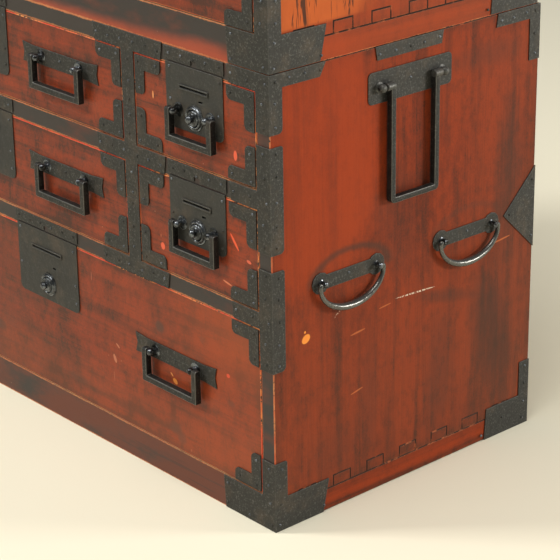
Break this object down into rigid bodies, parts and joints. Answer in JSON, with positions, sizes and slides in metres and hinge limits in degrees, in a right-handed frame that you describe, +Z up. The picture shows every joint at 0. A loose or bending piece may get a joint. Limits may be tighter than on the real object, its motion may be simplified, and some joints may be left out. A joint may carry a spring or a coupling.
{
  "type": "clothing chest",
  "caption": "Two stacked lacquered wooden cases of drawers with forged iron corner plates, lock plates, drop handles and long side handles.",
  "frame": {"origin": "on the floor, at the middle of the footprint of the case and its front fittings", "axes": "+X to the right of someone facing the drawers, +Y to the back, +Z up"},
  "size_m": [0.8714, 0.4376, 1.0415],
  "materials": {
    "red_lacquer_wood": "worn translucent red-brown lacquer over straight-grained softwood",
    "dark_lacquer_wood": "dark brown lacquer, worn red at the edges",
    "bare_wood": "unfinished pale softwood",
    "forged_iron": "blackened forged iron, matt with rubbed edges",
    "polished_iron": "blackened iron rubbed bright by hands"
  },
  "bodies": {
    "lower_case": {"lower_sides": "red_lacquer_wood", "lower_top_board": "red_lacquer_wood", "lower_bottom_board": "red_lacquer_wood", "lower_back_boards": "bare_wood", "lower_partition": "dark_lacquer_wood", "lower_dust_boards": "bare_wood", "lower_skids": "red_lacquer_wood", "lower_front_rails": "dark_lacquer_wood", "lower_corner_irons": "forged_iron", "lower_face_irons": "forged_iron", "lower_handle_mounts": "forged_iron"},
    "upper_case": {"upper_boards": "red_lacquer_wood", "upper_front_rails": "dark_lacquer_wood", "upper_irons": "forged_iron"},
    "long_drawer": {"long_drawer_front": "red_lacquer_wood", "long_drawer_box": "bare_wood", "long_drawer_irons": "forged_iron"},
    "long_drawer_button": {"long_drawer_button": "polished_iron"},
    "long_drawer_bail_left": {"long_drawer_bail_left": "forged_iron"},
    "long_drawer_bail_right": {"long_drawer_bail_right": "forged_iron"},
    "wide_drawer_b": {"wide_drawer_b_front": "red_lacquer_wood", "wide_drawer_b_box": "bare_wood", "wide_drawer_b_irons": "forged_iron"},
    "wide_drawer_b_button": {"wide_drawer_b_button": "polished_iron"},
    "wide_drawer_b_bail_left": {"wide_drawer_b_bail_left": "forged_iron"},
    "wide_drawer_b_bail_right": {"wide_drawer_b_bail_right": "forged_iron"},
    "small_drawer_b": {"small_drawer_b_front": "red_lacquer_wood", "small_drawer_b_box": "bare_wood", "small_drawer_b_irons": "forged_iron"},
    "small_drawer_b_button": {"small_drawer_b_button": "polished_iron"},
    "small_drawer_b_bail": {"small_drawer_b_bail": "forged_iron"},
    "wide_drawer_a": {"wide_drawer_a_front": "red_lacquer_wood", "wide_drawer_a_box": "bare_wood", "wide_drawer_a_irons": "forged_iron"},
    "wide_drawer_a_button": {"wide_drawer_a_button": "polished_iron"},
    "wide_drawer_a_bail_left": {"wide_drawer_a_bail_left": "forged_iron"},
    "wide_drawer_a_bail_right": {"wide_drawer_a_bail_right": "forged_iron"},
    "small_drawer_a": {"small_drawer_a_front": "red_lacquer_wood", "small_drawer_a_box": "bare_wood", "small_drawer_a_irons": "forged_iron"},
    "small_drawer_a_button": {"small_drawer_a_button": "polished_iron"},
    "small_drawer_a_bail": {"small_drawer_a_bail": "forged_iron"},
    "upper_drawer_b": {"upper_drawer_b_body": "red_lacquer_wood", "upper_drawer_b_irons": "forged_iron"},
    "upper_drawer_b_button": {"upper_drawer_b_button": "polished_iron"},
    "upper_drawer_b_bail_left": {"upper_drawer_b_bail_left": "forged_iron"},
    "upper_drawer_b_bail_right": {"upper_drawer_b_bail_right": "forged_iron"},
    "upper_drawer_a": {"upper_drawer_a_body": "red_lacquer_wood", "upper_drawer_a_irons": "forged_iron"},
    "upper_drawer_a_button": {"upper_drawer_a_button": "polished_iron"},
    "upper_drawer_a_bail_left": {"upper_drawer_a_bail_left": "forged_iron"},
    "upper_drawer_a_bail_right": {"upper_drawer_a_bail_right": "forged_iron"},
    "lower_pole_right": {"lower_pole_right": "forged_iron"},
    "upper_pole_right": {"upper_pole_right": "forged_iron"},
    "grip_right_front": {"grip_right_front": "forged_iron"},
    "grip_right_rear": {"grip_right_rear": "forged_iron"},
    "lower_pole_left": {"lower_pole_left": "forged_iron"},
    "upper_pole_left": {"upper_pole_left": "forged_iron"},
    "grip_left_front": {"grip_left_front": "forged_iron"},
    "grip_left_rear": {"grip_left_rear": "forged_iron"}
  },
  "joints": [
    {"name": "upper_case_lift", "type": "slide", "parent": "lower_case", "child": "upper_case", "axis": [0, 0, 1], "range_m": [0, 0.1]},
    {"name": "long_drawer_slide", "type": "slide", "parent": "lower_case", "child": "long_drawer", "axis": [0, -1, 0], "range_m": [0, 0.34]},
    {"name": "long_drawer_button_push", "type": "slide", "parent": "long_drawer", "child": "long_drawer_button", "axis": [0, 1, 0], "range_m": [0, 0.004], "stiffness_N_per_m": 400, "springref_m": -0.002},
    {"name": "long_drawer_bail_left_swing", "type": "hinge", "parent": "long_drawer", "child": "long_drawer_bail_left", "pos_m": [-0.25, -0.21375, 0.1605], "axis": [-1, 0, 0], "range_deg": [0, 170]},
    {"name": "long_drawer_bail_right_swing", "type": "hinge", "parent": "long_drawer", "child": "long_drawer_bail_right", "pos_m": [0.25, -0.21375, 0.1605], "axis": [-1, 0, 0], "range_deg": [0, 170]},
    {"name": "wide_drawer_b_slide", "type": "slide", "parent": "lower_case", "child": "wide_drawer_b", "axis": [0, -1, 0], "range_m": [0, 0.34]},
    {"name": "wide_drawer_b_button_push", "type": "slide", "parent": "wide_drawer_b", "child": "wide_drawer_b_button", "axis": [0, 1, 0], "range_m": [0, 0.004], "stiffness_N_per_m": 400, "springref_m": -0.002},
    {"name": "wide_drawer_b_bail_left_swing", "type": "hinge", "parent": "wide_drawer_b", "child": "wide_drawer_b_bail_left", "pos_m": [-0.28225, -0.21375, 0.3415], "axis": [-1, 0, 0], "range_deg": [0, 170]},
    {"name": "wide_drawer_b_bail_right_swing", "type": "hinge", "parent": "wide_drawer_b", "child": "wide_drawer_b_bail_right", "pos_m": [0.04875, -0.21375, 0.3415], "axis": [-1, 0, 0], "range_deg": [0, 170]},
    {"name": "small_drawer_b_slide", "type": "slide", "parent": "lower_case", "child": "small_drawer_b", "axis": [0, -1, 0], "range_m": [0, 0.34]},
    {"name": "small_drawer_b_button_push", "type": "slide", "parent": "small_drawer_b", "child": "small_drawer_b_button", "axis": [0, 1, 0], "range_m": [0, 0.004], "stiffness_N_per_m": 400, "springref_m": -0.002},
    {"name": "small_drawer_b_bail_swing", "type": "hinge", "parent": "small_drawer_b", "child": "small_drawer_b_bail", "pos_m": [0.3, -0.21375, 0.33925], "axis": [-1, 0, 0], "range_deg": [0, 170]},
    {"name": "wide_drawer_a_slide", "type": "slide", "parent": "lower_case", "child": "wide_drawer_a", "axis": [0, -1, 0], "range_m": [0, 0.34]},
    {"name": "wide_drawer_a_button_push", "type": "slide", "parent": "wide_drawer_a", "child": "wide_drawer_a_button", "axis": [0, 1, 0], "range_m": [0, 0.004], "stiffness_N_per_m": 400, "springref_m": -0.002},
    {"name": "wide_drawer_a_bail_left_swing", "type": "hinge", "parent": "wide_drawer_a", "child": "wide_drawer_a_bail_left", "pos_m": [-0.28225, -0.21375, 0.48025], "axis": [-1, 0, 0], "range_deg": [0, 170]},
    {"name": "wide_drawer_a_bail_right_swing", "type": "hinge", "parent": "wide_drawer_a", "child": "wide_drawer_a_bail_right", "pos_m": [0.04875, -0.21375, 0.48025], "axis": [-1, 0, 0], "range_deg": [0, 170]},
    {"name": "small_drawer_a_slide", "type": "slide", "parent": "lower_case", "child": "small_drawer_a", "axis": [0, -1, 0], "range_m": [0, 0.34]},
    {"name": "small_drawer_a_button_push", "type": "slide", "parent": "small_drawer_a", "child": "small_drawer_a_button", "axis": [0, 1, 0], "range_m": [0, 0.004], "stiffness_N_per_m": 400, "springref_m": -0.002},
    {"name": "small_drawer_a_bail_swing", "type": "hinge", "parent": "small_drawer_a", "child": "small_drawer_a_bail", "pos_m": [0.3, -0.21375, 0.47375], "axis": [-1, 0, 0], "range_deg": [0, 170]},
    {"name": "upper_drawer_b_slide", "type": "slide", "parent": "upper_case", "child": "upper_drawer_b", "axis": [0, -1, 0], "range_m": [0, 0.34]},
    {"name": "upper_drawer_b_button_push", "type": "slide", "parent": "upper_drawer_b", "child": "upper_drawer_b_button", "axis": [0, 1, 0], "range_m": [0, 0.004], "stiffness_N_per_m": 400, "springref_m": -0.002},
    {"name": "upper_drawer_b_bail_left_swing", "type": "hinge", "parent": "upper_drawer_b", "child": "upper_drawer_b_bail_left", "pos_m": [-0.25, -0.21375, 0.7055], "axis": [-1, 0, 0], "range_deg": [0, 170]},
    {"name": "upper_drawer_b_bail_right_swing", "type": "hinge", "parent": "upper_drawer_b", "child": "upper_drawer_b_bail_right", "pos_m": [0.25, -0.21375, 0.7055], "axis": [-1, 0, 0], "range_deg": [0, 170]},
    {"name": "upper_drawer_a_slide", "type": "slide", "parent": "upper_case", "child": "upper_drawer_a", "axis": [0, -1, 0], "range_m": [0, 0.34]},
    {"name": "upper_drawer_a_button_push", "type": "slide", "parent": "upper_drawer_a", "child": "upper_drawer_a_button", "axis": [0, 1, 0], "range_m": [0, 0.004], "stiffness_N_per_m": 400, "springref_m": -0.002},
    {"name": "upper_drawer_a_bail_left_swing", "type": "hinge", "parent": "upper_drawer_a", "child": "upper_drawer_a_bail_left", "pos_m": [-0.25, -0.21375, 0.9325], "axis": [-1, 0, 0], "range_deg": [0, 170]},
    {"name": "upper_drawer_a_bail_right_swing", "type": "hinge", "parent": "upper_drawer_a", "child": "upper_drawer_a_bail_right", "pos_m": [0.25, -0.21375, 0.9325], "axis": [-1, 0, 0], "range_deg": [0, 170]},
    {"name": "lower_pole_right_swing", "type": "hinge", "parent": "lower_case", "child": "lower_pole_right", "pos_m": [0.4305, 0.00445, 0.498], "axis": [0, -1, 0], "range_deg": [0, 175]},
    {"name": "upper_pole_right_swing", "type": "hinge", "parent": "upper_case", "child": "upper_pole_right", "pos_m": [0.4305, 0.00445, 0.9945], "axis": [0, -1, 0], "range_deg": [0, 175]},
    {"name": "grip_right_front_swing", "type": "hinge", "parent": "lower_case", "child": "grip_right_front", "pos_m": [0.431, -0.09105, 0.289], "axis": [0, -1, 0], "range_deg": [0, 175]},
    {"name": "grip_right_rear_swing", "type": "hinge", "parent": "lower_case", "child": "grip_right_rear", "pos_m": [0.431, 0.09995, 0.289], "axis": [0, -1, 0], "range_deg": [0, 175]},
    {"name": "lower_pole_left_swing", "type": "hinge", "parent": "lower_case", "child": "lower_pole_left", "pos_m": [-0.4305, 0.00445, 0.498], "axis": [0, 1, 0], "range_deg": [0, 175]},
    {"name": "upper_pole_left_swing", "type": "hinge", "parent": "upper_case", "child": "upper_pole_left", "pos_m": [-0.4305, 0.00445, 0.9945], "axis": [0, 1, 0], "range_deg": [0, 175]},
    {"name": "grip_left_front_swing", "type": "hinge", "parent": "lower_case", "child": "grip_left_front", "pos_m": [-0.431, -0.09105, 0.289], "axis": [0, 1, 0], "range_deg": [0, 175]},
    {"name": "grip_left_rear_swing", "type": "hinge", "parent": "lower_case", "child": "grip_left_rear", "pos_m": [-0.431, 0.09995, 0.289], "axis": [0, 1, 0], "range_deg": [0, 175]}
  ]
}
